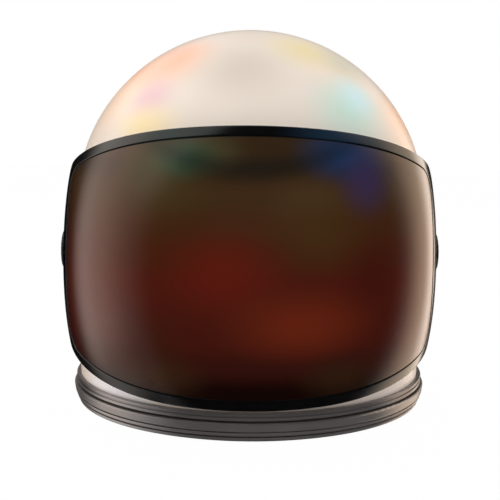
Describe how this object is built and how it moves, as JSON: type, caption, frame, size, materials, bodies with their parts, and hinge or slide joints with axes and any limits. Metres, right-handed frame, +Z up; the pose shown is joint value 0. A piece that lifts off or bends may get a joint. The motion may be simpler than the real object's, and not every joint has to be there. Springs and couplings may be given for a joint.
{
  "type": "astronaut helmet",
  "caption": "Round astronaut helmet with a dark wrap-round visor that swings up on side knobs, a padded shell and a neck ring with a turning lock band.",
  "frame": {"origin": "centre of the neck opening on the flat bottom face of the neck ring", "axes": "+Z up along the neck axis, -Y out of the face, +X to the wearer's left, which is the right in a front view"},
  "size_m": [0.3264, 0.3483, 0.319],
  "materials": {
    "shell_white": "glossy pearl white lacquer with soft colour shifts",
    "visor_amber": "dark amber tinted polycarbonate, mirror gloss, almost opaque",
    "frame_black": "gloss black moulding with a bevelled rim",
    "knob_black": "satin black moulding",
    "ring_grey": "satin mid grey",
    "black_rubber": "matt black rubber",
    "dark_plastic": "dark low-friction plastic",
    "steel": "bright fasteners",
    "aluminium": "machined",
    "brass": "turned",
    "foam_grey": "fabric-covered foam"
  },
  "bodies": {
    "helmet": {"helmet_shell": "shell_white", "port_trim": "black_rubber", "upper_ring": "ring_grey", "base_ring": "ring_grey", "base_screws": "steel", "neck_seal": "black_rubber", "glide_ring_upper": "dark_plastic", "glide_ring_lower": "dark_plastic", "stop_pin_left": "steel", "stop_pin_right": "steel", "pivot_stud_left": "steel", "pivot_stud_right": "steel", "backing_plate_left": "aluminium", "backing_plate_right": "aluminium", "pivot_nut_left": "steel", "pivot_nut_right": "steel", "inner_washer_left": "dark_plastic", "inner_washer_right": "dark_plastic", "crown_pad": "foam_grey", "rear_pad": "foam_grey", "side_pad_left": "foam_grey", "side_pad_right": "foam_grey"},
    "visor": {"visor_lens": "visor_amber", "lens_seal": "black_rubber", "visor_frame": "frame_black", "pivot_bushing_left": "brass", "pivot_bushing_right": "brass", "outer_washer_left": "dark_plastic", "outer_washer_right": "dark_plastic"},
    "left_knob": {"pivot_knob_left": "knob_black", "knob_insert_left": "brass"},
    "right_knob": {"pivot_knob_right": "knob_black", "knob_insert_right": "brass"},
    "lock_band": {"lock_band": "ring_grey", "lock_lugs": "steel", "lug_screws": "steel"}
  },
  "joints": [
    {"name": "visor_swing", "type": "hinge", "parent": "helmet", "child": "visor", "pos_m": [0, 0, 0.128], "axis": [-1, 0, 0], "range_deg": [0, 65]},
    {"name": "left_knob_turn", "type": "hinge", "parent": "helmet", "child": "left_knob", "pos_m": [-0.16, 0, 0.128], "axis": [-1, 0, 0], "range_deg": [0, 180]},
    {"name": "right_knob_turn", "type": "hinge", "parent": "helmet", "child": "right_knob", "pos_m": [0.16, 0, 0.128], "axis": [1, 0, 0], "range_deg": [0, 180]},
    {"name": "lock_band_turn", "type": "hinge", "parent": "helmet", "child": "lock_band", "pos_m": [0, 0, 0.0136], "axis": [0, 0, 1], "range_deg": [0, 25]}
  ]
}
